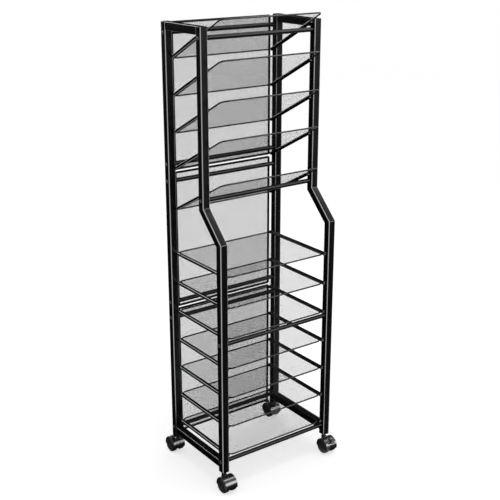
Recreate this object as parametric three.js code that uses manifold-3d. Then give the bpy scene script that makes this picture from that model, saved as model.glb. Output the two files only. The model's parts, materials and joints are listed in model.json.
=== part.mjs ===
// Mobile file cart in black powder-coated steel: two side frames of square tube, joined by round cross bars, carry
// three mesh back panels and twelve mesh trays, seven flat below and five tilted above, on four twin-wheel casters.
// Millimetres, +Z up. The origin is on the floor under the middle of the cart, and -Y is its front.
import * as THREE from "three";
import { mergeVertices } from "three/addons/utils/BufferGeometryUtils.js";
import Module from "manifold-3d";

// Driving dimensions of the side frames
const clearance = 0.3; // between neighbouring pieces
const frameWidth = 374; // over the outer faces of the posts
const lowerDepth = 261; // over the posts, below the step of the front posts
const upperDepth = 183.5; // over the posts, above the step
const postSize = 21;
const postWall = 1.2;
const postCorner = 2;
const postCap = 1.5; // plate that closes the top of a post
const stepAngle = THREE.MathUtils.degToRad(45); // the step's slope, from the vertical
const bottomRailRise = 20.5; // from the posts' lower ends to the middle of the bottom side rails

// Driving dimensions of the trays
const flatCount = 7;
const flatPitch = 85.6;
const flatRise = 41; // from the posts' lower ends to the lowest tray
const stepRise = 88.4; // from the highest flat tray to the lower bend of the front posts
const tiltCount = 5;
const tiltPitch = 97.3;
const tiltFirstPitch = 112; // from the lowest tilted tray to the next
const tiltAngle = THREE.MathUtils.degToRad(27.6);
const tiltRise = 43.4; // from the upper bend to the lowest tilted tray, measured at the front posts
const postRise = 7.4; // from the highest tray to the top of the posts, measured at the front posts
const railDiameter = 9; // side rails of a tray
const railWeld = 0.5; // depth that the rim is welded into the rail
const rimWire = 3.5;
const rimCorner = 12;
const meshThickness = 1;
const meshStrip = 18; // strip of mesh that is left between its openings
const trayColumns = 4; // openings across a tray
const trayRows = 3;
const panelColumns = 3; // openings across a back panel
const panelRows = 3;

// Driving dimensions of the cross bars and back panels
const barDiameter = 12;
const barWall = 1.2;
const bottomBarRise = 28.5; // from the posts' lower ends
const topBarDrop = 27.7; // from the tops of the posts
const middleBarRise = 23.5; // from the upper bend to the bar under the lowest tilted tray
const supportTray = 5; // flat tray, counted from the lowest, that rests on a front bar
const jointBarDrop = 14.4; // from that tray down to the bar at the top of the lower panel
const tiltBarRise = 17.8; // from the second tilted tray up to the bar at the foot of the upper panel
const jointBarSpacing = 46.5; // between the two bars where one panel ends and the next starts
const panelGap = 10; // between the frame wires of neighbouring panels
const panelOverhang = 22.8; // of the panels past the lowest and the highest rear bar
const panelWire = 5;
const panelCorner = 3;
const panelSideGap = 10.8; // from a post to the middle of the panel's frame wire

// Driving dimensions of the casters
const wheelDiameter = 43;
const wheelWidth = 13.5;
const wheelEdge = 3; // bevel at the outer edge of the tread
const hubDishDiameter = 20;
const hubDishDepth = 1.5;
const hubWall = 3; // between the dish and the end of the axle's bore
const wheelGap = 0.5; // from a wheel to the web of the hood
const webWidth = 10;
const webRadius = 15; // of the web's lower edge, round the axle
const hoodGap = 0.8;
const hoodWall = 1.8;
const hoodSkirt = THREE.MathUtils.degToRad(12); // the hood reaches this far below the axle, front and rear
const casterTrail = 14; // from the stem to the axle
const axleDiameter = 6;
const bossDiameter = 15;
const bossHeight = 24; // from the axle to the top of the stem's boss
const bossDepth = 16;
const spigotDiameter = 6; // lower end of the stem, in the boss
const spigotDepth = 14;
const stemDiameter = 9;
const stemGroove = 1; // depth of the groove round the stem's upper end
const stemInsert = 26; // length of the stem inside the post
const neckHeight = 8.5; // from the top of the boss to the socket's flange
const socketFlange = 2;
const socketDepth = 28;
const pedalHub = 5;
const pedalNeck = 7;
const pedalReach = 10; // from the pivot to the wide end of the pedal
const pedalLength = 7;
const pedalWidth = 16;
const pedalCorner = 2;
const pedalThickness = 2.6;
const pedalRadius = 19; // from the axle to the pivot of the pedal
const pedalAngle = THREE.MathUtils.degToRad(55); // of the pivot, above the axle
const pedalTilt = THREE.MathUtils.degToRad(5); // of the pedal at rest, above the level

// Facets of round pieces
const cornerSteps = 2;
const rodSides = 12;
const wireSides = 6;
const turnedSides = 18;
const bossSides = 16;

// Heights and places that follow from the driving dimensions
const wheelRadius = wheelDiameter / 2;
const hoodInner = wheelRadius + hoodGap;
const hoodOuter = hoodInner + hoodWall;
const bossTop = wheelRadius + bossHeight;
const postBottom = bossTop + neckHeight + socketFlange;
const rearPostY = lowerDepth / 2 - postSize / 2;
const lowerPostY = -rearPostY;
const upperPostY = lowerDepth / 2 - upperDepth + postSize / 2;
const postX = frameWidth / 2 - postSize / 2;
const innerX = frameWidth / 2 - postSize;
const panelFrontY = rearPostY + barDiameter / 2 + clearance;
const trayRearY = panelFrontY - clearance - rimWire / 2;
const trayDepth = trayRearY - lowerPostY;
const flatHeight = (index) => postBottom + flatRise + index * flatPitch;
const lowerBendZ = flatHeight(flatCount - 1) + stepRise;
const upperBendZ = lowerBendZ + (upperPostY - lowerPostY) / Math.tan(stepAngle);
const tiltRun = trayRearY - upperPostY;
const tiltClimb = tiltRun * Math.tan(tiltAngle);
const tiltStart = upperBendZ + tiltRise - tiltClimb;
const tiltHeight = (index) => tiltStart + (index ? tiltFirstPitch + (index - 1) * tiltPitch : 0);
const postTop = tiltHeight(tiltCount - 1) + tiltClimb + postRise;

const wasm = await Module();
wasm.setup();

// The solid of a closed geometry, for joins and cuts
function solid(geometry) {
  const bare = geometry.index ? geometry.toNonIndexed() : geometry.clone();
  bare.deleteAttribute("normal");
  bare.deleteAttribute("uv");
  const merged = mergeVertices(bare, 1e-4);
  return new wasm.Manifold(
    new wasm.Mesh({
      numProp: 3,
      vertProperties: merged.attributes.position.array,
      triVerts: new Uint32Array(merged.index.array),
    }),
  );
}

function geometryOf(made) {
  const mesh = made.getMesh();
  const geometry = new THREE.BufferGeometry();
  geometry.setAttribute("position", new THREE.BufferAttribute(mesh.vertProperties, 3));
  geometry.setIndex(new THREE.BufferAttribute(mesh.triVerts, 1));
  const flat = geometry.toNonIndexed();
  flat.computeVertexNormals();
  return flat;
}

const joined = (first, ...others) => others.reduce((sum, next) => sum.add(next), first);

// Corner points of a rectangle with round corners, each with the direction that it faces
function roundedOutline(width, height, radius) {
  const points = [];
  for (let corner = 0; corner < 4; corner++) {
    const signX = corner === 0 || corner === 3 ? 1 : -1;
    const signY = corner < 2 ? 1 : -1;
    const centre = new THREE.Vector2(signX * (width / 2 - radius), signY * (height / 2 - radius));
    for (let step = 0; step <= cornerSteps; step++) {
      const angle = ((corner + step / cornerSteps) * Math.PI) / 2;
      const facing = new THREE.Vector2(Math.cos(angle), Math.sin(angle));
      points.push({ place: centre.clone().addScaledVector(facing, radius), facing });
    }
  }
  return points;
}

const roundedShape = (width, height, radius) =>
  new THREE.Shape(roundedOutline(width, height, radius).map((point) => point.place));

function circleHole(radius, sides, x = 0, y = 0) {
  const points = [];
  for (let side = 0; side < sides; side++) {
    const angle = (side / sides) * 2 * Math.PI;
    points.push(new THREE.Vector2(x + radius * Math.cos(angle), y + radius * Math.sin(angle)));
  }
  return new THREE.Path(points);
}

const circleShape = (radius, sides) => new THREE.Shape(circleHole(radius, sides).getPoints());

const extruded = (shape, depth, curveSegments = 1) =>
  new THREE.ExtrudeGeometry(shape, { depth, bevelEnabled: false, curveSegments });

// A closed surface from rings of equally many points: side walls, and flat ends unless the rings close on themselves
function skinned(rings, closedLoop) {
  const count = rings[0].length;
  const indices = [];
  const spans = closedLoop ? rings.length : rings.length - 1;
  for (let ring = 0; ring < spans; ring++) {
    const start = ring * count;
    const next = ((ring + 1) % rings.length) * count;
    for (let side = 0; side < count; side++) {
      const other = (side + 1) % count;
      indices.push(start + side, start + other, next + other);
      indices.push(start + side, next + other, next + side);
    }
  }
  if (!closedLoop) {
    const last = (rings.length - 1) * count;
    for (let side = 1; side < count - 1; side++) {
      indices.push(0, side + 1, side);
      indices.push(last, last + side, last + side + 1);
    }
  }
  const geometry = new THREE.BufferGeometry().setFromPoints(rings.flat());
  geometry.setIndex(indices);
  return geometry;
}

// A square section carried up a path of Y,Z corners, with mitred bends
function mitredBar(size, corner, path) {
  const outline = roundedOutline(size, size, corner);
  const headings = path.slice(1).map((point, index) => point.clone().sub(path[index]).normalize());
  const rings = path.map((point, index) => {
    const before = headings[Math.max(index - 1, 0)];
    const after = headings[Math.min(index, headings.length - 1)];
    const across = new THREE.Vector2(after.y + before.y, -after.x - before.x);
    across.divideScalar(1 + before.dot(after));
    return outline.map(({ place }) => {
      const shift = across.clone().multiplyScalar(place.y);
      return new THREE.Vector3(place.x, point.x + shift.x, point.y + shift.y);
    });
  });
  return solid(skinned(rings, false));
}

// A post: a square tube, open at its foot and closed by a plate at its top
function postGeometry(path) {
  const bore = path.map((point) => point.clone());
  bore[0].y -= postSize;
  bore[bore.length - 1].y -= postCap;
  const boreCorner = Math.max(postCorner - postWall, postWall / 2);
  const tube = mitredBar(postSize, postCorner, path);
  return geometryOf(tube.subtract(mitredBar(postSize - 2 * postWall, boreCorner, bore)));
}

// A side rail of the frame: a square tube along Y, from the front end to the rear end
function sideRailGeometry(frontY, rearY) {
  const section = roundedShape(postSize, postSize, postCorner);
  const boreSize = postSize - 2 * postWall;
  section.holes.push(roundedShape(boreSize, boreSize, Math.max(postCorner - postWall, postWall / 2)));
  return extruded(section, rearY - frontY).rotateX(Math.PI / 2).translate(0, rearY, 0);
}

// A cross bar: a round tube along X, between the inner faces of the posts
function barGeometry() {
  const ring = circleShape(barDiameter / 2, rodSides);
  ring.holes.push(circleHole(barDiameter / 2 - barWall, rodSides));
  const length = 2 * (innerX - clearance);
  return extruded(ring, length).translate(0, 0, -length / 2).rotateY(Math.PI / 2);
}

// Mesh in a closed frame of round wire, lying level, with its rear wire through the origin. A plain grid of
// openings makes the sheet as open as the fine mesh.
function framedMesh(width, depth, corner, wire, columns, rows) {
  const outline = roundedOutline(width, depth, corner);
  outline.forEach(({ place }) => {
    place.y -= depth / 2;
  });
  const rings = outline.map(({ place, facing }) => {
    const ring = [];
    for (let side = 0; side < wireSides; side++) {
      const angle = (side / wireSides) * 2 * Math.PI;
      const out = (wire / 2) * Math.cos(angle);
      const up = (-wire / 2) * Math.sin(angle);
      ring.push(new THREE.Vector3(place.x + facing.x * out, place.y + facing.y * out, up));
    }
    return ring;
  });
  const plate = extruded(new THREE.Shape(outline.map(({ place }) => place)), meshThickness);
  let sheet = solid(plate.translate(0, 0, -meshThickness / 2));
  const pitchX = (width - wire) / columns;
  const pitchY = (depth - wire) / rows;
  for (let column = 0; column < columns; column++) {
    for (let row = 0; row < rows; row++) {
      const opening = new THREE.BoxGeometry(pitchX - meshStrip, pitchY - meshStrip, 2 * meshThickness);
      const x = (column + 0.5 - columns / 2) * pitchX;
      const y = (row + 0.5 - rows / 2) * pitchY - depth / 2;
      sheet = sheet.subtract(solid(opening.translate(x, y, 0)));
    }
  }
  return solid(skinned(rings, true)).add(sheet);
}

// A tray: framed mesh between two round side rails
function trayGeometry(railLength) {
  const railX = innerX - clearance - railDiameter / 2;
  const rimX = railX - railDiameter / 2 - rimWire / 2 + railWeld;
  const rails = [-railX, railX].map((x) => {
    const rail = extruded(circleShape(railDiameter / 2, rodSides), railLength + rimWire / 2);
    return solid(rail.rotateX(Math.PI / 2).translate(x, rimWire / 2, 0));
  });
  const deck = framedMesh(2 * rimX, trayDepth, rimCorner, rimWire, trayColumns, trayRows);
  return geometryOf(joined(deck, ...rails));
}

// A back panel: framed mesh that stands upright, with its upper wire through the origin
function panelGeometry(height) {
  const width = 2 * (innerX - panelSideGap);
  const sheet = framedMesh(width, height, panelCorner, panelWire, panelColumns, panelRows);
  return geometryOf(sheet).rotateX(Math.PI / 2);
}

// A turned piece from its outline of radius and height, standing on Z. Its facets start a quarter turn round, so
// that a wheel stands on an edge between two facets.
function turned(outline, sides = turnedSides) {
  const points = outline.map(([radius, height]) => new THREE.Vector2(radius, height));
  return new THREE.LatheGeometry(points, sides, Math.PI / 2).rotateX(Math.PI / 2);
}

// A wheel round X, with its inner face at the origin and its outer face towards +X
function wheelGeometry() {
  const bore = axleDiameter / 2 + clearance;
  const boreEnd = wheelWidth - hubDishDepth - hubWall;
  const dish = wheelWidth - hubDishDepth;
  const wheel = turned([
    [0, boreEnd],
    [bore, boreEnd],
    [bore, 0],
    [wheelRadius, 0],
    [wheelRadius, wheelWidth - wheelEdge],
    [wheelRadius - wheelEdge, wheelWidth],
    [hubDishDiameter / 2, wheelWidth],
    [hubDishDiameter / 2 - hubDishDepth, dish],
    [0, dish],
  ]);
  return wheel.rotateY(Math.PI / 2);
}

function axleGeometry() {
  const reach = webWidth / 2 + wheelGap + wheelWidth - hubDishDepth - hubWall - clearance;
  return new THREE.CylinderGeometry(axleDiameter / 2, axleDiameter / 2, 2 * reach, rodSides).rotateZ(Math.PI / 2);
}

// A stem on the swivel axis: spigot, shoulder, pin, and the groove near its upper end
function stemGeometry() {
  const top = postBottom + stemInsert;
  const radius = stemDiameter / 2;
  return turned(
    [
      [0, bossTop - spigotDepth],
      [spigotDiameter / 2, bossTop - spigotDepth],
      [spigotDiameter / 2, bossTop + clearance],
      [radius, bossTop + clearance],
      [radius, top - 3 * radius],
      [radius - stemGroove, top - 3 * radius],
      [radius - stemGroove, top - 2 * radius],
      [radius, top - 2 * radius],
      [radius, top - stemGroove],
      [radius - stemGroove, top],
      [0, top],
    ],
    rodSides,
  );
}

// A socket: a square plug in the foot of the post, with a flange under it and a bore for the stem
function socketGeometry() {
  const boreRadius = stemDiameter / 2 + clearance;
  const plugSize = postSize - 2 * postWall - 2 * clearance;
  const levels = [
    [postSize, postCorner, postBottom - socketFlange, postBottom - clearance],
    [plugSize, postCorner / 2, postBottom - 2 * clearance, postBottom + socketDepth],
  ];
  const blocks = levels.map(([size, corner, low, high]) => {
    const section = roundedShape(size, size, corner);
    section.holes.push(circleHole(boreRadius, rodSides));
    return solid(extruded(section, high - low).translate(0, 0, low));
  });
  return geometryOf(joined(...blocks));
}

// A round pin along X through a point of the caster, for cuts and joins
function crossPin(radius, fromX, toX, y, z, sides) {
  const pin = extruded(circleShape(radius, sides), toX - fromX);
  return solid(pin.rotateX(Math.PI / 2).rotateZ(Math.PI / 2).translate(fromX, y, z));
}

const pedalY = -casterTrail - pedalRadius * Math.cos(pedalAngle);
const pedalZ = wheelRadius + pedalRadius * Math.sin(pedalAngle);

// A hood: one moulding with the shells over both wheels, the web between them and the boss for the stem
function hoodGeometry(braked) {
  const half = webWidth / 2 + wheelGap + wheelWidth;
  const side = new THREE.Shape();
  side.absarc(0, 0, hoodOuter, -hoodSkirt, Math.PI + hoodSkirt, false);
  side.absarc(0, 0, webRadius, Math.PI + hoodSkirt, 2 * Math.PI - hoodSkirt, false);
  const block = extruded(side, 2 * half, turnedSides / 2);
  block.rotateX(Math.PI / 2).rotateZ(Math.PI / 2).translate(-half, -casterTrail, wheelRadius);
  const boss = extruded(circleShape(bossDiameter / 2, bossSides), bossDepth);
  const bore = extruded(circleShape(spigotDiameter / 2 + clearance, rodSides), 2 * spigotDepth);
  let hood = solid(block).add(solid(boss.translate(0, 0, bossTop - bossDepth)));
  for (const [from, to] of [[-2 * half, -webWidth / 2], [webWidth / 2, 2 * half]]) {
    hood = hood.subtract(crossPin(hoodInner, from, to, -casterTrail, wheelRadius, turnedSides));
  }
  hood = hood.subtract(solid(bore.translate(0, 0, bossTop - spigotDepth - clearance)));
  hood = hood.subtract(crossPin(axleDiameter / 2 + clearance, -half, half, -casterTrail, wheelRadius, rodSides));
  if (braked) {
    const slot = new THREE.BoxGeometry(pedalNeck + 2 * clearance, 2 * hoodOuter, 2 * hoodOuter);
    const edge = pedalHub / 2 + clearance;
    hood = hood.subtract(solid(slot.translate(0, pedalY + edge - hoodOuter, pedalZ - edge + hoodOuter)));
  }
  return geometryOf(hood);
}

// A brake pedal, with its pivot on X at the origin and its wide end towards the front
function pedalGeometry() {
  const hub = crossPin(pedalHub / 2, -pedalNeck / 2, pedalNeck / 2, 0, 0, rodSides);
  const neck = new THREE.BoxGeometry(pedalNeck, pedalReach + pedalCorner, pedalThickness);
  neck.translate(0, -(pedalReach + pedalCorner) / 2, 0);
  const end = extruded(roundedShape(pedalWidth, pedalLength, pedalCorner), pedalThickness);
  end.translate(0, -pedalReach - pedalLength / 2, -pedalThickness / 2);
  return geometryOf(joined(hub, solid(neck), solid(end)));
}

const powderCoat = new THREE.MeshStandardMaterial({ color: 0x161617, roughness: 0.32, metalness: 0.35 });
const wireMesh = new THREE.MeshStandardMaterial({ color: 0x1b1b1c, roughness: 0.45, metalness: 0.3 });
const nylon = new THREE.MeshStandardMaterial({ color: 0x242426, roughness: 0.42, metalness: 0 });
const tread = new THREE.MeshStandardMaterial({ color: 0x2a2a2b, roughness: 0.55, metalness: 0 });
const steel = new THREE.MeshStandardMaterial({ color: 0x8d9093, roughness: 0.3, metalness: 0.9 });

const cart = new THREE.Group();

function place(parent, name, geometry, material, x, y, z) {
  const mesh = new THREE.Mesh(geometry, material);
  mesh.name = name;
  mesh.position.set(x, y, z);
  parent.add(mesh);
  return mesh;
}

// Side frames
const pathOf = (...corners) => corners.map(([y, z]) => new THREE.Vector2(y, z));
const rearPath = pathOf([rearPostY, postBottom], [rearPostY, postTop]);
const frontPath = pathOf(
  [lowerPostY, postBottom],
  [lowerPostY, lowerBendZ],
  [upperPostY, upperBendZ],
  [upperPostY, postTop],
);
const rearFace = rearPostY - postSize / 2 - clearance;
for (const [side, x] of [["left", -postX], ["right", postX]]) {
  place(cart, `front_post_${side}`, postGeometry(frontPath), powderCoat, x, 0, 0);
  place(cart, `rear_post_${side}`, postGeometry(rearPath), powderCoat, x, 0, 0);
  const topRail = sideRailGeometry(upperPostY + postSize / 2 + clearance, rearFace);
  place(cart, `top_rail_${side}`, topRail, powderCoat, x, 0, postTop - postSize / 2);
  const bottomRail = sideRailGeometry(lowerPostY + postSize / 2 + clearance, rearFace);
  place(cart, `bottom_rail_${side}`, bottomRail, powderCoat, x, 0, postBottom + bottomRailRise);
}

// Cross bars, each counted from the lowest
const bottomBar = postBottom + bottomBarRise;
const lowerJoint = flatHeight(supportTray - 1) - jointBarDrop;
const upperJoint = tiltHeight(1) + tiltBarRise;
const topBar = postTop - topBarDrop;
const rearBars = [
  bottomBar,
  lowerJoint,
  lowerJoint + jointBarSpacing,
  upperJoint - jointBarSpacing,
  upperJoint,
  topBar,
];
rearBars.forEach((z, index) => {
  place(cart, `rear_bar_${index + 1}`, barGeometry(), powderCoat, 0, rearPostY, z);
});
const supportBar = flatHeight(supportTray - 1) - railDiameter / 2 - clearance - barDiameter / 2;
const frontBars = [
  [lowerPostY, bottomBar],
  [lowerPostY, supportBar],
  [upperPostY, upperBendZ + middleBarRise],
  [upperPostY, topBar],
];
frontBars.forEach(([y, z], index) => {
  place(cart, `front_bar_${index + 1}`, barGeometry(), powderCoat, 0, y, z);
});

// Back panels, behind the bars
const jointReach = (jointBarSpacing - panelGap) / 2;
const panelReach = [panelOverhang, jointReach, jointReach, jointReach, jointReach, panelOverhang];
["lower", "middle", "upper"].forEach((level, index) => {
  const low = rearBars[2 * index] - panelReach[2 * index];
  const high = rearBars[2 * index + 1] + panelReach[2 * index + 1];
  place(cart, `back_panel_${level}`, panelGeometry(high - low), wireMesh, 0, panelFrontY + panelWire / 2, high);
});

// Trays, each counted from the lowest
for (let index = 0; index < flatCount; index++) {
  place(cart, `flat_tray_${index + 1}`, trayGeometry(trayDepth), wireMesh, 0, trayRearY, flatHeight(index));
}
for (let index = 0; index < tiltCount; index++) {
  const geometry = trayGeometry(tiltRun / Math.cos(tiltAngle));
  const tray = place(cart, `tilted_tray_${index + 1}`, geometry, wireMesh, 0, trayRearY, tiltHeight(index));
  tray.rotation.x = -tiltAngle;
}

// Casters: the front pair trails to the front and the rear pair to the rear
function addCaster(name, x, y, turn, braked) {
  const caster = new THREE.Group();
  caster.position.set(x, y, 0);
  caster.rotation.z = turn;
  cart.add(caster);
  place(caster, `${name}_socket`, socketGeometry(), nylon, 0, 0, 0);
  place(caster, `${name}_stem`, stemGeometry(), steel, 0, 0, 0);
  place(caster, `${name}_hood`, hoodGeometry(braked), nylon, 0, 0, 0);
  place(caster, `${name}_axle`, axleGeometry(), steel, 0, -casterTrail, wheelRadius);
  const wheelX = webWidth / 2 + wheelGap;
  for (const side of [-1, 1]) {
    const outer = side * x * Math.cos(turn) > 0;
    const wheelName = `${name}_wheel_${outer ? "outer" : "inner"}`;
    const wheel = place(caster, wheelName, wheelGeometry(), tread, side * wheelX, -casterTrail, wheelRadius);
    wheel.rotation.z = side > 0 ? 0 : Math.PI;
  }
  if (braked) {
    const pedal = place(caster, `${name}_brake_pedal`, pedalGeometry(), nylon, 0, pedalY, pedalZ);
    pedal.rotation.x = -pedalTilt;
  }
}
addCaster("caster_front_left", -postX, lowerPostY, 0, false);
addCaster("caster_front_right", postX, lowerPostY, 0, true);
addCaster("caster_rear_left", -postX, rearPostY, Math.PI, false);
addCaster("caster_rear_right", postX, rearPostY, Math.PI, true);

export default cart;
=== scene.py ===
"""Mobile file cart in black powder-coated steel: its looks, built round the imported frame, in metres."""

import json
import math

import bpy
from mathutils import Matrix, Vector


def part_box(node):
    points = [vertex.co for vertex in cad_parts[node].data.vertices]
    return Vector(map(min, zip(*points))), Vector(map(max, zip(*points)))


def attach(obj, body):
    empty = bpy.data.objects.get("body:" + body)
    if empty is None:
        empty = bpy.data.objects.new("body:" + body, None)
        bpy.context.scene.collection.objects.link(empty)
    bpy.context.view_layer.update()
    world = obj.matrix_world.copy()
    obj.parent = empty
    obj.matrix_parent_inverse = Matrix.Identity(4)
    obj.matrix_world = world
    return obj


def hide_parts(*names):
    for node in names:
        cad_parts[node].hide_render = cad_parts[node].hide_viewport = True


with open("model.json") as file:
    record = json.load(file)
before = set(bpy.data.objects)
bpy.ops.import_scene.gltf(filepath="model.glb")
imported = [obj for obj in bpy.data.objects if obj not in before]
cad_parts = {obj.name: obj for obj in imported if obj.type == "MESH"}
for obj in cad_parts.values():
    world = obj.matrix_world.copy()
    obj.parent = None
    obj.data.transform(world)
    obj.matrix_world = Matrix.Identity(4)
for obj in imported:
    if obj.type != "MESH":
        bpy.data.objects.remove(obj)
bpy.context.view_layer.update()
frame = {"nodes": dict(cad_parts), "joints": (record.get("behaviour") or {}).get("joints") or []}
scene = bpy.context.scene

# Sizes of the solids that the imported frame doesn't give by itself
CLEARANCE = 0.0003
POST_CORNER = 0.002
POST_WALL = 0.0012
POST_PLATE = 0.0015
STEP_ANGLE = math.radians(45)
RAIL_RADIUS = 0.0045
RIM_RADIUS = 0.00175
RIM_CORNER = 0.012
RIM_WELD = 0.0005
PANEL_WIRE_RADIUS = 0.0025
PANEL_CORNER = 0.003
TILT = math.radians(27.6)
TILT_RAIL = 0.1882
WHEEL_RADIUS = 0.0215
WHEEL_INNER = 0.0055
TRAIL = 0.014
WEB_HALF = 0.005
WEB_LOWER = 0.015
HOOD_HALF = 0.019
HOOD_INNER = 0.0223
HOOD_OUTER = 0.0241
HOOD_SKIRT = math.radians(12)
BOSS_TOP = 0.0455
BOSS_RADIUS = 0.0075
SPIGOT_RADIUS = 0.003
STEM_RADIUS = 0.0045
GROOVE_RADIUS = 0.0035
PEDAL_TILT = math.radians(5)
PEDAL_HUB = 0.0025
PEDAL_NECK_HALF = 0.0035
PEDAL_HALF = 0.0013
PEDAL_WIDTH = 0.016
PEDAL_LENGTH = 0.007
PEDAL_CORNER = 0.002
PEDAL_MIDDLE = 0.0135

# Sizes of the scene alone: square tray rails, coated wires, and depths inside the hood
RAIL_HEIGHT = 0.008
RAIL_CORNER = 0.0013
RIM_COATED = 0.0021
PANEL_WIRE_COATED = 0.0032
WEB_OVERLAP = 0.0003
BOSS_DEPTH = 0.007
HOLE_DEPTH = 0.003

# Facets and eased edges, and the angles in degrees from which an edge is sharp
CORNER_STEPS = 6
BEND_EASE = 0.0011
TOP_EASE = 0.0008
RAIL_EASE = 0.0006
BAR_SIDES = 32
SCREW_SIDES = 24
BOSS_SIDES = 40
STEM_SIDES = 32
WHEEL_SIDES = 64
TUBE_SHARP = 32
MOULDED_SHARP = 40

# Diamonds of the mesh as (width, height), strands as (width, thickness), and the search for a strand's ends
PANEL_MESH = (0.003, 0.0018)
PANEL_STRAND = (0.00034, 0.00006)
TRAY_MESH = (0.0017, 0.0027)
TRAY_STRAND = (0.0002, 0.000035)
SEARCH_STEPS = 24
HALVINGS = 22

# Heads of the screws
SCREW_RADIUS = 0.0046
SCREW_HEIGHT = 0.0027
SCREW_RIM = 0.0005
SCREW_SUNK = 0.0004
SCREW_SOCKET = 0.0017
SOCKET_FLOOR = 0.0012
DOME_STEPS = 6

# The rounded edge of the hood's shell, as (distance from its side, distance below its outer face)
HOOD_EDGE = ((0, 0.0009), (0.0003, 0.0003), (0.0009, 0), (0.0013, 0))

# A wheel's outline in millimetres from its bore to its hub, as (radius, distance from its inner face)
MM = 0.001
WHEEL_BORE = [(0, 9), (3.3, 9), (3.3, 0)]
WHEEL_TREAD = [(19.6, 0), (20.9, 0.4), (21.4, 1.2), (21.5, 2.0), (21.5, 10.4), (21.3, 11.6), (20.6, 12.6)]
WHEEL_FACE = [(19.6, 13.2), (18.4, 13.5), (17.4, 13.5)]
WHEEL_GROOVE = [(17.1, 13.0), (16.5, 13.0), (16.2, 13.5)]
WHEEL_HUB = [(10.9, 13.5), (10.6, 13.5), (9.7, 12.9), (8.9, 12.2), (8.2, 12.0), (7.8, 12.0), (0, 12.0)]

# How much painted highlight, a light metallic tone along the corners, shows on the posts, their bends, the
# side rails and the tray rails
POST_PAINTED_HIGHLIGHT = 1.0
BEND_PAINTED_HIGHLIGHT = 0.2
TOP_RAIL_PAINTED_HIGHLIGHT = 0.25
BOTTOM_RAIL_PAINTED_HIGHLIGHT = 0.5
TRAY_PAINTED_HIGHLIGHT = 1.0

# Noise in the materials as (scale, detail), where it turns from dark to light, the grain, and a cool tint
TONE_DRIFT = (14.0, 4.0)
TONE_STOPS = (0.32, 0.68)
GLOSS_DRIFT = (60.0, 3.0)
GRAIN_DETAIL = 2.0
GRAIN_DEPTH = 0.0002
COOLNESS = 1.04

# The studio's light, its floor and its dark cards
AMBIENT = 0.45
FLOOR_REACH = 6.0
FLOOR_TONE = 0.8
FLOOR_GLOW = 0.63
CARD_TONE = 0.002
CARD_HEIGHT = 0.006


class Shape:
    """Points and faces of one piece, and how much painted highlight its coat has at each point."""

    def __init__(self):
        self.points = []
        self.faces = []
        self.painted_highlights = {}

    def skin(self, rings, closed=False, start=True, end=True, painted_highlights=None):
        """Walls from ring to ring of equally many points, with flat ends where they are asked for."""
        first = len(self.points)
        count = len(rings[0])
        for ring in rings:
            self.points.extend(ring)
        # Each point's level of painted highlight: how far its coat takes the light corner tone
        for index, highlight_level in (painted_highlights or {}).items():
            self.painted_highlights[first + index] = highlight_level
        spans = len(rings) if closed else len(rings) - 1
        for index in range(spans):
            low = first + index * count
            high = first + (index + 1) % len(rings) * count
            for side in range(count):
                after = (side + 1) % count
                self.faces.append((low + side, low + after, high + after, high + side))
        if not closed and start:
            self.faces.append(tuple(first + side for side in reversed(range(count))))
        if not closed and end:
            last = first + (len(rings) - 1) * count
            self.faces.append(tuple(last + side for side in range(count)))

    def fan(self, centre, ring_start, count, flip):
        """Triangles from one point to a ring that is in the shape already."""
        self.points.append(centre)
        middle = len(self.points) - 1
        for side in range(count):
            pair = (ring_start + side, ring_start + (side + 1) % count)
            self.faces.append((middle, pair[1], pair[0]) if flip else (middle, *pair))

    def piece(self, name, material, body, slot, stands_for=(), place=None, sharp=TUBE_SHARP):
        """Makes the object, hangs it on what it rides on and hides the nodes it stands for. Its slot is not
        used.
        """
        mesh = bpy.data.meshes.new(name)
        mesh.from_pydata([tuple(point) for point in self.points], [], self.faces)
        # The painted highlight levels go into the mesh as its edge values
        if self.painted_highlights:
            light = mesh.attributes.new("edge", "FLOAT", "POINT")
            light.data.foreach_set("value", [self.painted_highlights.get(k, 0.0) for k in range(len(self.points))])
        if place is not None:
            mesh.transform(place)
        mesh.validate()
        mesh.shade_smooth()
        mesh.set_sharp_from_angle(angle=math.radians(sharp))
        mesh.materials.append(material)
        made = bpy.data.objects.new(name, mesh)
        scene.collection.objects.link(made)
        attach(made, body)
        if stands_for:
            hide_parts(*stands_for)


def rounded_outline(width, depth, radius, steps):
    """Points of a rectangle with round corners, anticlockwise, each with the way it faces."""
    points = []
    for corner, (sign_x, sign_y) in enumerate(((1, 1), (-1, 1), (-1, -1), (1, -1))):
        for step in range(steps + 1):
            angle = (corner + step / steps) * math.pi / 2
            facing = Vector((math.cos(angle), math.sin(angle)))
            centre = Vector((sign_x * (width / 2 - radius), sign_y * (depth / 2 - radius)))
            points.append((centre + facing * radius, facing))
    return points


def corner_points(rings, side=0):
    """Numbers of the points on a square section's round corners.

    Side 0 takes all four corners, 1 the two towards +X and -1 the two towards -X.
    """
    per_corner = CORNER_STEPS + 1
    wanted = {-1: (1, 2), 0: (0, 1, 2, 3), 1: (0, 3)}[side]
    numbers = []
    for k in range(rings * 4 * per_corner):
        corner, step = divmod(k % (4 * per_corner), per_corner)
        if corner in wanted and 0 < step < CORNER_STEPS:
            numbers.append(k)
    return numbers


def outer_side(x):
    """The side of the cart on which a place is: 1 towards +X, -1 towards -X."""
    return 1 if x > 0 else -1


def circle(sides):
    """Points of a circle of radius 1."""
    return [(math.cos(2 * math.pi * k / sides), math.sin(2 * math.pi * k / sides)) for k in range(sides)]


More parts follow.
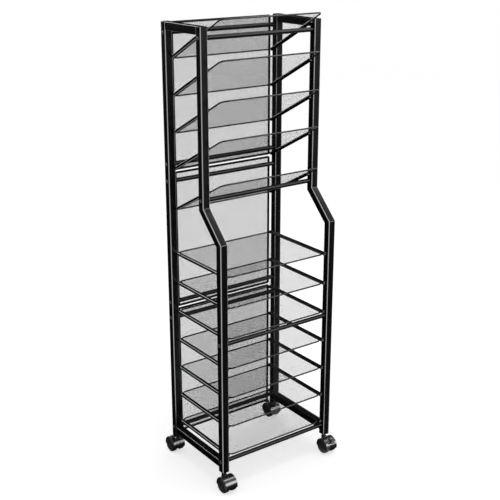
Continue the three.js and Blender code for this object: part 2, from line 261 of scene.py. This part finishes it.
def lathe(shape, profile, sides, axis, bulge=None):
    """Turns an outline of (radius, distance), which starts and ends on its axis, round that axis.

    The axis is a matrix from Z. A bulge scales the radius, by the number of the ring and the angle on it.
    """
    rings = []
    for index, (radius, height) in enumerate(profile[1:-1]):
        ring = []
        for c, s in circle(sides):
            scale = bulge(index, math.atan2(s, c)) if bulge else 1.0
            ring.append(axis @ Vector((radius * scale * c, radius * scale * s, height)))
        rings.append(ring)
    first = len(shape.points)
    shape.skin(rings, start=False, end=False)
    shape.fan(axis @ Vector((0, 0, profile[0][1])), first, sides, True)
    shape.fan(axis @ Vector((0, 0, profile[-1][1])), first + (len(rings) - 1) * sides, sides, False)


def rod(shape, start, end, radius, sides, chamfer=0.0006):
    """A round bar from point to point, with a small chamfer at each end."""
    start, end = Vector(start), Vector(end)
    along = end - start
    axis = Matrix.Translation(start) @ along.to_track_quat("Z", "Y").to_matrix().to_4x4()
    length = along.length
    profile = [
        (0, 0),
        (radius - chamfer, 0),
        (radius, chamfer),
        (radius, length - chamfer),
        (radius - chamfer, length),
        (0, length),
    ]
    lathe(shape, profile, sides, axis)


def wire_loop(shape, width, depth, corner, radius, sides=12, steps=6):
    """A closed loop of round wire, level, with the middle of its rear wire at the origin."""
    rings = []
    for place, facing in rounded_outline(width, depth, corner, steps):
        ring = []
        for c, s in circle(sides):
            out = place + facing * radius * c
            ring.append(Vector((out.x, out.y - depth / 2, -radius * s)))
        rings.append(ring)
    shape.skin(rings, closed=True)


def inside_reach(point, half_x, half_y, corner):
    """How far a point lies outside a rectangle with round corners, below zero inside."""
    dx = abs(point.x) - half_x + corner
    dy = abs(point.y) - half_y + corner
    outside = math.hypot(max(dx, 0), max(dy, 0))
    return outside + min(max(dx, dy), 0) - corner


def strand_ends(middle, along, half_x, half_y, corner):
    """Both ends of a straight strand inside the outline, or None where it misses it."""
    reach = 2 * math.hypot(half_x, half_y)
    inner = None
    best = 0
    for step in range(-SEARCH_STEPS, SEARCH_STEPS + 1):
        point = middle + along * (reach * step / (2 * SEARCH_STEPS))
        depth = inside_reach(point, half_x, half_y, corner)
        if depth < best:
            best = depth
            inner = point
    if inner is None:
        return None
    ends = []
    for sign in (-1, 1):
        near, far = 0.0, reach
        for _ in range(HALVINGS):
            half = (near + far) / 2
            if inside_reach(inner + along * (sign * half), half_x, half_y, corner) < 0:
                near = half
            else:
                far = half
        ends.append(inner + along * (sign * near))
    return ends


def mesh_sheet(shape, width, depth, corner, diamond, strand):
    """Two layers of thin strands that cross in diamonds, cut to the frame wire's middle line."""
    strand_width, thickness = strand
    half_x, half_y = width / 2, depth / 2
    slope = math.atan2(diamond[1], diamond[0])
    spacing = diamond[0] * math.sin(slope)
    for layer, angle in ((0, slope), (1, math.pi - slope)):
        along = Vector((math.cos(angle), math.sin(angle)))
        across = Vector((-along.y, along.x))
        side = across * (strand_width / 2)
        count = int((half_x * abs(across.x) + half_y * abs(across.y)) / spacing)
        low = (layer - 1) * thickness
        high = low + thickness
        for index in range(-count, count + 1):
            ends = strand_ends(across * (index * spacing), along, half_x, half_y, corner)
            if ends is None:
                continue
            rings = []
            for end in ends:
                section = ((end - side, low), (end + side, low), (end + side, high), (end - side, high))
                rings.append([Vector((p.x, p.y - half_y, z)) for p, z in section])
            shape.skin(rings)


def noise_node(tree, scale, detail, coordinates):
    """A noise texture over the object's own coordinates."""
    node = tree.nodes.new("ShaderNodeTexNoise")
    node.inputs["Scale"].default_value = scale
    node.inputs["Detail"].default_value = detail
    tree.links.new(coordinates, node.inputs["Vector"])
    return node


def finish_material(name, tones, rough, grain, bump, specular=0.5, metallic=0.0, edge=None):
    """A coated or moulded surface: its tone drifts, its gloss varies, and a fine grain lies in its bump.

    An edge is a painted highlight: a light tone and how metallic it is. It shows where the mesh's edge values
    say.
    """
    material = bpy.data.materials.new(name)
    material.use_nodes = True
    tree = material.node_tree
    shader = tree.nodes["Principled BSDF"]
    shader.inputs["Specular IOR Level"].default_value = specular
    shader.inputs["Metallic"].default_value = metallic
    coordinates = tree.nodes.new("ShaderNodeTexCoord").outputs["Object"]

    drift = noise_node(tree, *TONE_DRIFT, coordinates)
    tone = tree.nodes.new("ShaderNodeValToRGB")
    for stop, position, shade in zip(tone.color_ramp.elements, TONE_STOPS, tones):
        stop.position = position
        stop.color = (*shade, 1)
    tree.links.new(drift.outputs["Fac"], tone.inputs["Fac"])
    colour = tone.outputs["Color"]
    # Painted highlight: the edge values mix a light, partly metallic tone into the coat, standing in for
    # light caught on rounded corners
    if edge:
        painted_highlight_tone, painted_highlight_metallic = edge
        light = tree.nodes.new("ShaderNodeAttribute")
        light.attribute_name = "edge"
        mix = tree.nodes.new("ShaderNodeMix")
        mix.data_type = "RGBA"
        colour_in = [s for s in mix.inputs if s.type == "RGBA"]
        colour_in[1].default_value = (*painted_highlight_tone, 1)
        tree.links.new(light.outputs["Fac"], mix.inputs["Factor"])
        tree.links.new(colour, colour_in[0])
        colour = next(s for s in mix.outputs if s.type == "RGBA")
        painted_highlight_metal = tree.nodes.new("ShaderNodeMath")
        painted_highlight_metal.operation = "MULTIPLY"
        painted_highlight_metal.inputs[1].default_value = painted_highlight_metallic
        tree.links.new(light.outputs["Fac"], painted_highlight_metal.inputs[0])
        tree.links.new(painted_highlight_metal.outputs[0], shader.inputs["Metallic"])
    tree.links.new(colour, shader.inputs["Base Color"])

    gloss = noise_node(tree, *GLOSS_DRIFT, coordinates)
    spread = tree.nodes.new("ShaderNodeMapRange")
    spread.inputs["To Min"].default_value = rough[0]
    spread.inputs["To Max"].default_value = rough[1]
    tree.links.new(gloss.outputs["Fac"], spread.inputs["Value"])
    tree.links.new(spread.outputs["Result"], shader.inputs["Roughness"])

    fine = noise_node(tree, grain, GRAIN_DETAIL, coordinates)
    relief = tree.nodes.new("ShaderNodeBump")
    relief.inputs["Strength"].default_value = bump
    relief.inputs["Distance"].default_value = GRAIN_DEPTH
    tree.links.new(fine.outputs["Fac"], relief.inputs["Height"])
    tree.links.new(relief.outputs["Normal"], shader.inputs["Normal"])
    return material


def grey(value):
    """A grey that is a little cool."""
    return (value, value, value * COOLNESS)


def coat_material(name, rough, specular, edge=None):
    """Black powder coat on steel tube, bar or wire."""
    return finish_material(name, (grey(0.003), grey(0.005)), rough, 900, 0.06, specular, edge=edge)


# Painted highlight for the posts and side rails: a grey, nearly fully metallic tone on their round corners
post_painted_highlight = (grey(0.36), 0.95)
# Painted highlight for the tray rails: a pale grey, slightly metallic tone on their round corners
tray_painted_highlight = (grey(0.7), 0.25)
coat = coat_material("powder_coat", rough=(0.18, 0.24), specular=0.19, edge=post_painted_highlight)
tray_coat = coat_material("tray_coat", rough=(0.18, 0.24), specular=0.19, edge=tray_painted_highlight)
wire_coat = coat_material("wire_coat", rough=(0.30, 0.38), specular=0.06)
bar_coat = coat_material("bar_coat", rough=(0.20, 0.28), specular=0.1)
mesh_coat = finish_material(
    "mesh_coat", (grey(0.006), grey(0.010)), rough=(0.36, 0.48), grain=1500, bump=0.10, specular=0.03
)
nylon = finish_material(
    "caster_nylon", (grey(0.012), grey(0.018)), rough=(0.18, 0.26), grain=2200, bump=0.10, specular=0.62
)
tread = finish_material(
    "caster_tread", (grey(0.014), grey(0.022)), rough=(0.40, 0.52), grain=1800, bump=0.14, specular=0.5
)
steel = finish_material(
    "zinc_steel", (grey(0.34), grey(0.42)), rough=(0.24, 0.36), grain=2600, bump=0.08, metallic=1.0
)
dark_steel = finish_material(
    "dark_steel", (grey(0.10), grey(0.14)), rough=(0.26, 0.34), grain=2600, bump=0.08, metallic=1.0
)
screw_steel = finish_material(
    "screw_steel", (grey(0.05), grey(0.07)), rough=(0.34, 0.44), grain=2600, bump=0.08, specular=0.4
)


def size_of(node):
    """The lower and upper corner of a node's box, and its middle."""
    low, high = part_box(node)
    return low, high, (low + high) / 2


def post_rings(path, size, corner):
    """Rings of a square section up a path of (y, z) corners, with mitred bends whose edges are eased."""
    outline = [place for place, _ in rounded_outline(size, size, corner, CORNER_STEPS)]
    headings = [(b - a).normalized() for a, b in zip(path, path[1:])]
    rings = []
    for index, point in enumerate(path):
        before = headings[max(index - 1, 0)]
        after = headings[min(index, len(headings) - 1)]
        across = Vector((after.y + before.y, -after.x - before.x)) / (1 + before.dot(after))
        ring = []
        for place in outline:
            shift = across * place.y
            ring.append(Vector((place.x, point.x + shift.x, point.y + shift.y)))
        if index in (0, len(path) - 1):
            rings.append(ring)
            continue
        step_in = Vector((0, before.x, before.y)) * BEND_EASE
        step_out = Vector((0, after.x, after.y)) * BEND_EASE
        rings.append([p - step_in for p in ring])
        rings.append([p + (step_out - step_in) / 4 for p in ring])
        rings.append([p + step_out for p in ring])
    return rings


def post_piece(node):
    """A post as one hollow tube, closed by a plate at the top and open at the foot."""
    low, high, middle = size_of(node)
    size = high.x - low.x
    lower_y = low.y + size / 2
    path = [Vector((lower_y, low.z)), Vector((lower_y, high.z))]
    if high.y - low.y > 2 * size:
        upper_y = high.y - size / 2
        bend = lower_bend(low, size)
        path[1:] = [
            Vector((lower_y, bend)),
            Vector((upper_y, bend + (upper_y - lower_y) / math.tan(STEP_ANGLE))),
            Vector((upper_y, high.z)),
        ]
    outer = post_rings(path, size, POST_CORNER)
    top = outer[-1]
    centre = Vector((0, path[-1].x, path[-1].y))
    outer[-1] = [p - Vector((0, 0, 2 * TOP_EASE)) for p in top]
    outer.append([p - Vector((0, 0, TOP_EASE)) for p in top])
    outer.append([centre + (p - centre) * (1 - 2 * TOP_EASE / size) for p in top])
    inner_path = [point.copy() for point in path]
    inner_path[-1].y -= POST_PLATE
    inner = post_rings(inner_path, size - 2 * POST_WALL, POST_CORNER - POST_WALL)
    # Painted highlight lines on the posts' round corners and, fainter, along the outer edge of each bend
    painted_highlights = dict.fromkeys(bend_points(path, outer), BEND_PAINTED_HIGHLIGHT)
    painted_highlights.update(dict.fromkeys(corner_points(len(outer) - 1), POST_PAINTED_HIGHLIGHT))
    shape = Shape()
    shape.skin(outer, start=False, painted_highlights=painted_highlights)
    count = len(outer[0])
    inner_last = len(shape.points) + count - 1
    shape.skin([list(reversed(ring)) for ring in inner], start=False)
    for side in range(count):
        after = (side + 1) % count
        shape.faces.append((after, side, inner_last - side, inner_last - after))
    place = Matrix.Translation((middle.x, 0, 0))
    shape.piece(f"{node}_tube", coat, "frame", "powder_coat", (node,), place)


def bend_points(path, rings):
    """Numbers of the points along the outer edge of each bend of a post, on the middle ring of its three."""
    if len(path) < 4:
        return []
    lower, upper = 2, 5
    count = len(rings[0])
    front = [k for k in range(count) if rings[lower][k].y < path[1].x]
    rear = [k for k in range(count) if rings[upper][k].y > path[2].x]
    return [lower * count + k for k in front] + [upper * count + k for k in rear]


def lower_bend(low, size):
    """Height of the lower bend, on the middle line of a front post."""
    points = [v.co for v in frame["nodes"]["front_post_left"].data.vertices]
    front_face = low.y + 1e-5
    return max(p.z for p in points if p.y < front_face) - size / 2 * math.tan(STEP_ANGLE / 2)


def rail_piece(node):
    """A side rail: square tube between the posts, with its ends cut straight."""
    low, high, middle = size_of(node)
    size = high.x - low.x
    outline = [place for place, _ in rounded_outline(size, size, POST_CORNER, CORNER_STEPS)]
    rings = []
    for y in (high.y, low.y):
        rings.append([Vector((middle.x + p.x, y, middle.z + p.y)) for p in outline])
    shape = Shape()
    # Painted highlight lines on the rail's two outer corners, fainter on the top rails than on the bottom
    # rails
    outer = corner_points(len(rings), outer_side(middle.x))
    highlight_level = TOP_RAIL_PAINTED_HIGHLIGHT if node.startswith("top") else BOTTOM_RAIL_PAINTED_HIGHLIGHT
    shape.skin(rings, painted_highlights=dict.fromkeys(outer, highlight_level))
    shape.piece(f"{node}_tube", coat, "frame", "powder_coat", (node,))


def bar_piece(node):
    """A round cross bar."""
    low, high, middle = size_of(node)
    radius = (high.z - low.z) / 2
    shape = Shape()
    rod(shape, (low.x, middle.y, middle.z), (high.x, middle.y, middle.z), radius, BAR_SIDES)
    shape.piece(f"{node}_tube", bar_coat, "frame", "powder_coat", (node,))


def screw(shape, x, y, z):
    """A domed screw head with a hexagon socket, on the outer face of a post."""
    turn = Matrix.Rotation(math.copysign(math.pi / 2, x), 4, "Y")
    axis = Matrix.Translation((x, y, z)) @ turn
    profile = [(0, -SCREW_SUNK), (SCREW_RADIUS, -SCREW_SUNK), (SCREW_RADIUS, SCREW_RIM)]
    for step in range(1, DOME_STEPS):
        angle = step / DOME_STEPS * math.pi / 2
        radius = SCREW_SOCKET + (SCREW_RADIUS - SCREW_SOCKET) * math.cos(angle)
        profile.append((radius, SCREW_RIM + (SCREW_HEIGHT - SCREW_RIM) * math.sin(angle)))
    profile += [(SCREW_SOCKET, SCREW_HEIGHT), (SCREW_SOCKET - 0.0001, SOCKET_FLOOR), (0, SOCKET_FLOOR)]
    socket = len(profile) - 4

    def hexagon(index, angle):
        if index < socket:
            return 1.0
        sector = math.fmod(angle + 2 * math.pi, math.pi / 3) - math.pi / 6
        return math.cos(math.pi / 6) / math.cos(sector)

    lathe(shape, profile, SCREW_SIDES, axis, hexagon)


def tray_place(node):
    """Where a tray stands: the middle of its rear wire, and its tilt."""
    low, high, middle = size_of(node)
    if node.startswith("flat"):
        return Matrix.Translation((0, high.y - RIM_RADIUS, middle.z))
    rear_y = high.y - RIM_RADIUS * math.cos(TILT) - RAIL_RADIUS * math.sin(TILT)
    rear_z = low.z + RAIL_RADIUS * math.cos(TILT) + RIM_RADIUS * math.sin(TILT)
    return Matrix.Translation((0, rear_y, rear_z)) @ Matrix.Rotation(-TILT, 4, "X")


flat_low, flat_high, _ = size_of("flat_tray_1")
tray_depth = flat_high.y - flat_low.y - 2 * RIM_RADIUS
rail_x = flat_high.x - RAIL_RADIUS
rim_width = 2 * (rail_x - RAIL_RADIUS - RIM_RADIUS + RIM_WELD)


def tray_rail(shape, x, rear, front):
    """A rail along one side of a tray: a square bar with round corners and eased ends."""
    ends = ((rear, RAIL_EASE), (rear - RAIL_EASE, 0), (front + RAIL_EASE, 0), (front, RAIL_EASE))
    rings = []
    for y, inset in ends:
        width, height = 2 * (RAIL_RADIUS - inset), RAIL_HEIGHT - 2 * inset
        outline = rounded_outline(width, height, RAIL_CORNER, CORNER_STEPS)
        rings.append([Vector((x + place.x, y, place.y)) for place, _ in outline])
    # Painted highlight lines on the tray rail's two outer corners
    outer = corner_points(len(rings), outer_side(x))
    shape.skin(rings, painted_highlights=dict.fromkeys(outer, TRAY_PAINTED_HIGHLIGHT))


def tray_pieces(node):
    """A tray: a loop of wire welded between two rails, and the mesh in it."""
    place = tray_place(node)
    reach = tray_depth if node.startswith("flat") else TILT_RAIL
    rim = Shape()
    wire_loop(rim, rim_width, tray_depth, RIM_CORNER, RIM_COATED)
    for x in (-rail_x, rail_x):
        tray_rail(rim, x, RIM_RADIUS, -reach)
    rim.piece(f"{node}_rim", tray_coat, "frame", "powder_coat", (node,), place)
    deck = Shape()
    mesh_sheet(deck, rim_width, tray_depth, RIM_CORNER, TRAY_MESH, TRAY_STRAND)
    deck.piece(f"{node}_mesh", mesh_coat, "frame", "coated_mesh", (), place)


def panel_pieces(node):
    """A back panel: a loop of wire behind the cross bars, and the mesh in it."""
    low, high, middle = size_of(node)
    width = high.x - low.x - 2 * PANEL_WIRE_RADIUS
    height = high.z - low.z - 2 * PANEL_WIRE_RADIUS
    top = high.z - PANEL_WIRE_RADIUS
    place = Matrix.Translation((0, middle.y, top)) @ Matrix.Rotation(math.pi / 2, 4, "X")
    wire = Shape()
    wire_loop(wire, width, height, PANEL_CORNER, PANEL_WIRE_COATED)
    wire.piece(f"{node}_wire", wire_coat, "frame", "powder_coat", (node,), place)
    sheet = Shape()
    mesh_sheet(sheet, width, height, PANEL_CORNER, PANEL_MESH, PANEL_STRAND)
    sheet.piece(f"{node}_mesh", mesh_coat, "frame", "coated_mesh", (), place)


def slab(shape, outline, x0, x1, ease=0.0004):
    """A plate between two X planes from an outline of (y, z), with its edges eased."""
    least_reach = 0.004
    middle = Vector((sum(p[0] for p in outline), sum(p[1] for p in outline))) / len(outline)
    rings = []
    for x, inset in ((x0, ease), (x0 + ease, 0), (x1 - ease, 0), (x1, ease)):
        ring = []
        for y, z in outline:
            out = Vector((y, z)) - middle
            point = middle + out * (1 - inset / max(out.length, least_reach))
            ring.append(Vector((x, point.x, point.y)))
        rings.append(ring)
    shape.skin(rings)


def around_axle(radius, angle):
    """A point round the axle: angle 0 is level towards the caster's trailing end, a quarter turn is up."""
    return (-TRAIL - radius * math.cos(angle), WHEEL_RADIUS + radius * math.sin(angle))


def arc(radius, start, end, steps):
    """Points round the axle from one angle to another."""
    return [around_axle(radius, start + (end - start) * k / steps) for k in range(steps + 1)]


def shell(shape, x0, x1, start, end, round_left=False, round_right=False):
    """A stretch of the hood's shell between two X planes and two angles, with its outer edges rounded."""
    section = [(x0, HOOD_INNER)]
    for x, sign, rounded in ((x0, 1, round_left), (x1, -1, round_right)):
        edge = [(x, HOOD_OUTER)]
        if rounded:
            edge = [(x + sign * inward, HOOD_OUTER - below) for inward, below in HOOD_EDGE]
        section += edge if sign > 0 else reversed(edge)
    section.append((x1, HOOD_INNER))
    least_steps, step_degrees = 4, 4
    steps = max(least_steps, int(math.degrees(end - start) / step_degrees))
    rings = []
    for k in range(steps + 1):
        angle = start + (end - start) * k / steps
        ring = []
        for x, radius in section:
            y, z = around_axle(radius, angle)
            ring.append(Vector((x, y, z)))
        rings.append(ring)
    shape.skin(rings)


def hood_shape(braked, pivot):
    """The hood: shells over both wheels, the web between them, and the boss that holds the stem."""
    shape = Shape()
    first, last = -HOOD_SKIRT, math.pi + HOOD_SKIRT
    web = HOOD_INNER + WEB_OVERLAP
    under = arc(WEB_LOWER, last, 2 * math.pi + first, steps=16)
    whole = arc(web, first, last, steps=40) + under
    if braked:
        slot = PEDAL_NECK_HALF + CLEARANCE
        floor = pivot[1] - PEDAL_HUB - CLEARANCE
        back = pivot[0] + PEDAL_HUB + CLEARANCE
        lower, lower_web = [math.asin((floor - WHEEL_RADIUS) / radius) for radius in (HOOD_OUTER, web)]
        upper, upper_web = [math.acos((-TRAIL - back) / radius) for radius in (HOOD_OUTER, web)]
        shell(shape, -HOOD_HALF, -slot, first, last, round_left=True)
        shell(shape, slot, HOOD_HALF, first, last, round_right=True)
        shell(shape, -slot, slot, first, lower)
        shell(shape, -slot, slot, upper, last)
        behind = arc(web, first, lower_web, steps=12)
        before = arc(web, upper_web, last, steps=28)
        slab(shape, whole, -WEB_HALF, -slot, ease=0.0002)
        slab(shape, whole, slot, WEB_HALF, ease=0.0002)
        slab(shape, behind + [(back, floor)] + before + under, -slot, slot, ease=0.00005)
    else:
        shell(shape, -HOOD_HALF, HOOD_HALF, first, last, round_left=True, round_right=True)
        slab(shape, whole, -WEB_HALF, WEB_HALF)
    hole = SPIGOT_RADIUS + CLEARANCE
    boss = [
        (0, BOSS_TOP - BOSS_DEPTH),
        (BOSS_RADIUS - 0.0002, BOSS_TOP - BOSS_DEPTH),
        (BOSS_RADIUS, BOSS_TOP - BOSS_DEPTH + 0.0004),
        (BOSS_RADIUS, BOSS_TOP - 0.001),
        (BOSS_RADIUS - 0.0003, BOSS_TOP - 0.0003),
        (BOSS_RADIUS - 0.001, BOSS_TOP),
        (hole, BOSS_TOP),
        (hole, BOSS_TOP - HOLE_DEPTH),
        (0, BOSS_TOP - HOLE_DEPTH),
    ]
    lathe(shape, boss, BOSS_SIDES, Matrix.Identity(4))
    return shape


def wheel_shape(side):
    """A wheel: a rounded tread, a ring groove near its rim and a dished hub on the outer face."""
    profile = WHEEL_BORE + WHEEL_TREAD + WHEEL_FACE + WHEEL_GROOVE + WHEEL_HUB
    turn = Matrix.Rotation(math.copysign(math.pi / 2, side), 4, "Y")
    start = Matrix.Translation((side * WHEEL_INNER, -TRAIL, WHEEL_RADIUS))
    shape = Shape()
    lathe(shape, [(radius * MM, height * MM) for radius, height in profile], WHEEL_SIDES, start @ turn)
    return shape


def stem_shape(top):
    """The stem: spigot, shoulder, pin and groove."""
    foot = BOSS_TOP - HOLE_DEPTH + CLEARANCE
    shoulder = BOSS_TOP + CLEARANCE
    groove_low, groove_high = top - 0.0135, top - 0.009
    profile = [
        (0, foot),
        (SPIGOT_RADIUS, foot),
        (SPIGOT_RADIUS, shoulder),
        (STEM_RADIUS - 0.0003, shoulder),
        (STEM_RADIUS, shoulder + 0.0003),
        (STEM_RADIUS, groove_low),
        (GROOVE_RADIUS, groove_low),
        (GROOVE_RADIUS, groove_high),
        (STEM_RADIUS, groove_high),
        (STEM_RADIUS, top - 0.001),
        (STEM_RADIUS - 0.001, top),
        (0, top),
    ]
    shape = Shape()
    lathe(shape, profile, STEM_SIDES, Matrix.Identity(4))
    return shape


def pedal_shape(pivot):
    """The brake pedal: a hub, a neck and a wide end with grip ribs, tilted up a little."""
    shape = Shape()
    rod(shape, (-PEDAL_NECK_HALF, 0, 0), (PEDAL_NECK_HALF, 0, 0), PEDAL_HUB, sides=20, chamfer=0.0003)
    neck_end = PEDAL_CORNER - PEDAL_MIDDLE
    neck = [(0.0, PEDAL_HALF), (neck_end, PEDAL_HALF), (neck_end, -PEDAL_HALF), (0.0, -PEDAL_HALF)]
    slab(shape, neck, -PEDAL_NECK_HALF, PEDAL_NECK_HALF, ease=0.0003)
    outline = [p for p, _ in rounded_outline(PEDAL_WIDTH, PEDAL_LENGTH, PEDAL_CORNER, steps=5)]
    eased, face = PEDAL_HALF - 0.0006, 0.93
    rings = []
    for height, scale in ((-PEDAL_HALF, face), (-eased, 1.0), (eased, 1.0), (PEDAL_HALF, face)):
        rings.append([Vector((p.x * scale, p.y * scale - PEDAL_MIDDLE, height)) for p in outline])
    shape.skin(rings)
    rib_half, rib_pitch, rib_radius = 0.0055, 0.0018, 0.0004
    for row in (1, 0, -1):
        y = row * rib_pitch - PEDAL_MIDDLE
        left, right = (-rib_half, y, PEDAL_HALF), (rib_half, y, PEDAL_HALF)
        rod(shape, left, right, rib_radius, sides=10, chamfer=0.0002)
    place = Matrix.Translation((0, *pivot)) @ Matrix.Rotation(-PEDAL_TILT, 4, "X")
    shape.points = [place @ p for p in shape.points]
    return shape


def caster_pieces(name):
    """One caster, with its hood, stem, wheels and, on two of them, its brake pedal."""
    _, high, middle = size_of(f"{name}_stem")
    turned = math.pi if "rear" in name else 0.0
    place = Matrix.Translation((middle.x, middle.y, 0)) @ Matrix.Rotation(turned, 4, "Z")
    swivel = f"{name}_swivel"
    pedal = f"{name}_brake_pedal"
    braked = pedal in frame["nodes"]
    pivot = None
    if braked:
        joint = next(j for j in frame["joints"] if j["child"] == pedal)
        local = place.inverted() @ Vector(joint["pos_m"])
        pivot = (local.y, local.z)
    hood = hood_shape(braked, pivot)
    hood.piece(f"{name}_hood_moulding", nylon, swivel, "nylon", (f"{name}_hood",), place, MOULDED_SHARP)
    stem_shape(high.z).piece(f"{name}_stem_pin", dark_steel, swivel, "steel", (f"{name}_stem",), place)
    for side in (-1, 1):
        outer = side * middle.x * math.cos(turned) > 0
        wheel = f"{name}_wheel_{'outer' if outer else 'inner'}"
        wheel_shape(side).piece(f"{wheel}_moulding", tread, wheel, "tread", (wheel,), place, MOULDED_SHARP)
    if braked:
        pedal_shape(pivot).piece(f"{pedal}_moulding", nylon, pedal, "nylon", (pedal,), place, MOULDED_SHARP)


for hand in ("left", "right"):
    post_piece(f"front_post_{hand}")
    post_piece(f"rear_post_{hand}")
    rail_piece(f"top_rail_{hand}")
    rail_piece(f"bottom_rail_{hand}")
post_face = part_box("rear_post_right")[1].x
screws = Shape()
for bar in [f"rear_bar_{k}" for k in range(1, 7)] + [f"front_bar_{k}" for k in range(1, 5)]:
    bar_piece(bar)
    _, _, bar_middle = size_of(bar)
    for x in (-post_face, post_face):
        screw(screws, x, bar_middle.y, bar_middle.z)
screws.piece("post_screws", screw_steel, "frame", "powder_coat", sharp=MOULDED_SHARP)
for level in ("lower", "middle", "upper"):
    panel_pieces(f"back_panel_{level}")
for number in range(1, 8):
    tray_pieces(f"flat_tray_{number}")
for number in range(1, 6):
    tray_pieces(f"tilted_tray_{number}")
for caster in ("front_left", "front_right", "rear_left", "rear_right"):
    caster_pieces(f"caster_{caster}")
    for node, finish in (("socket", nylon), ("axle", steel)):
        carried = frame["nodes"][f"caster_{caster}_{node}"]
        carried.data.materials.clear()
        carried.data.materials.append(finish)


def shown_and_lighting(tree, shown, lighting, output):
    """Uses one shader for what the camera, gloss and glass see, and another for what lights matt surfaces."""
    path = tree.nodes.new("ShaderNodeLightPath")
    seen = path.outputs["Is Camera Ray"]
    for ray in ("Is Glossy Ray", "Is Transmission Ray"):
        either = tree.nodes.new("ShaderNodeMath")
        either.operation = "MAXIMUM"
        tree.links.new(seen, either.inputs[0])
        tree.links.new(path.outputs[ray], either.inputs[1])
        seen = either.outputs[0]
    mix = tree.nodes.new("ShaderNodeMixShader")
    tree.links.new(seen, mix.inputs[0])
    tree.links.new(lighting.outputs[0], mix.inputs[1])
    tree.links.new(shown.outputs[0], mix.inputs[2])
    tree.links.new(mix.outputs[0], tree.nodes[output].inputs["Surface"])


def white_world():
    """White surroundings that light the cart less than they show."""
    world = bpy.data.worlds.new("studio")
    scene.world = world
    world.use_nodes = True
    tree = world.node_tree
    ambient = tree.nodes["Background"]
    ambient.inputs["Color"].default_value = (1, 1, 1, 1)
    ambient.inputs["Strength"].default_value = AMBIENT
    white = tree.nodes.new("ShaderNodeBackground")
    white.inputs["Color"].default_value = (1, 1, 1, 1)
    shown_and_lighting(tree, white, ambient, "World Output")


def pale_floor():
    """A floor that fades into the white and keeps a faint shadow."""
    mesh = bpy.data.meshes.new("floor")
    corners = [(x * FLOOR_REACH, y * FLOOR_REACH, 0) for x, y in ((-1, -1), (1, -1), (1, 1), (-1, 1))]
    mesh.from_pydata(corners, [], [(0, 1, 2, 3)])
    floor = bpy.data.objects.new("floor", mesh)
    scene.collection.objects.link(floor)
    paint = bpy.data.materials.new("floor_paint")
    paint.use_nodes = True
    mesh.materials.append(paint)
    tree = paint.node_tree
    tree.nodes.remove(tree.nodes["Principled BSDF"])
    diffuse = tree.nodes.new("ShaderNodeBsdfDiffuse")
    diffuse.inputs["Color"].default_value = (FLOOR_TONE, FLOOR_TONE, FLOOR_TONE, 1)
    glow = tree.nodes.new("ShaderNodeEmission")
    glow.inputs["Strength"].default_value = FLOOR_GLOW
    both = tree.nodes.new("ShaderNodeAddShader")
    tree.links.new(diffuse.outputs[0], both.inputs[0])
    tree.links.new(glow.outputs[0], both.inputs[1])
    shown_and_lighting(tree, both, diffuse, "Material Output")


def soft_lamp(name, place, facing, size, level, gloss_only=True):
    """A soft box at a place, facing a direction, as bright as its level. It may light gloss alone."""
    lamp = bpy.data.lights.new(name, "AREA")
    lamp.shape = "RECTANGLE"
    lamp.size, lamp.size_y = size
    lamp.energy = math.pi * size[0] * size[1] * level
    made = bpy.data.objects.new(name, lamp)
    made.location = place
    made.rotation_euler = Vector(facing).to_track_quat("-Z", "Y").to_euler()
    made.visible_camera = False
    made.visible_diffuse = not gloss_only
    scene.collection.objects.link(made)


def dark_card(name, corners):
    """A black sheet that only gloss sees, so that the faces towards it stay black."""
    mesh = bpy.data.meshes.new(name)
    mesh.from_pydata(corners, [], [tuple(range(len(corners)))])
    paint = bpy.data.materials.new(name)
    paint.use_nodes = True
    shader = paint.node_tree.nodes["Principled BSDF"]
    shader.inputs["Base Color"].default_value = (CARD_TONE, CARD_TONE, CARD_TONE, 1)
    shader.inputs["Specular IOR Level"].default_value = 0.0
    mesh.materials.append(paint)
    card = bpy.data.objects.new(name, mesh)
    card.visible_camera = False
    card.visible_diffuse = False
    card.visible_shadow = False
    card.visible_transmission = False
    scene.collection.objects.link(card)


white_world()
pale_floor()
soft_lamp(
    "top_box",
    place=(0.2, -0.6, 3.4),
    facing=(-0.07, 0.21, -0.98),
    size=(2.6, 2.2),
    level=1.2,
    gloss_only=False,
)
soft_lamp("right_box", place=(5.45, -8.39, 3.9), facing=(-0.545, 0.839, 0), size=(5.0, 5.4), level=12.0)
soft_lamp("upper_box", place=(0.7, -0.22, 1.65), facing=(0, 0, -1), size=(1.05, 0.55), level=8.0)
soft_lamp("back_box", place=(-0.1, 2.5, 1.95), facing=(0, -1, 0), size=(1.6, 1.9), level=7.0)

# Cards that lie just over the floor, as (x, y), and cards that stand, with their ends, lower and upper edge
rear_floor = [(-0.19, -0.175), (0.15, -0.17), (0.17, 0.14), (2.4, 0.9), (2.4, 2.62), (-3.2, 2.62)]
front_floor = [(-0.2, -0.15), (3.0, -7.5), (6.4, -5.2), (0.2, -0.15)]
front_floor += [(0.165, -0.15), (0.91, -1.3), (-0.16, -0.15)]
for name, outline in (("rear_floor_card", rear_floor), ("front_floor_card", front_floor)):
    dark_card(name, [(x, y, CARD_HEIGHT) for x, y in outline])
for name, start, end, lower, upper in (
    ("left_card", (-3.2, 2.62), (-0.75, 2.62), 0, 2.3),
    ("right_card", (0.75, 2.62), (4.5, 2.62), 1.0, 4.5),
    ("front_card", (3.0, -7.5), (6.4, -5.2), 0, 1.1),
):
    dark_card(name, [(*start, lower), (*end, lower), (*end, upper), (*start, upper)])

camera = bpy.data.cameras.new("camera")
camera.sensor_width = 36
camera.lens = 68.7
viewer = bpy.data.objects.new("camera", camera)
viewer.location = (-1.4414, -1.9937, 1.4645)
viewer.rotation_euler = (math.radians(71.07), 0, math.radians(-35.81))
scene.collection.objects.link(viewer)
scene.camera = viewer
scene.view_settings.view_transform = "Standard"
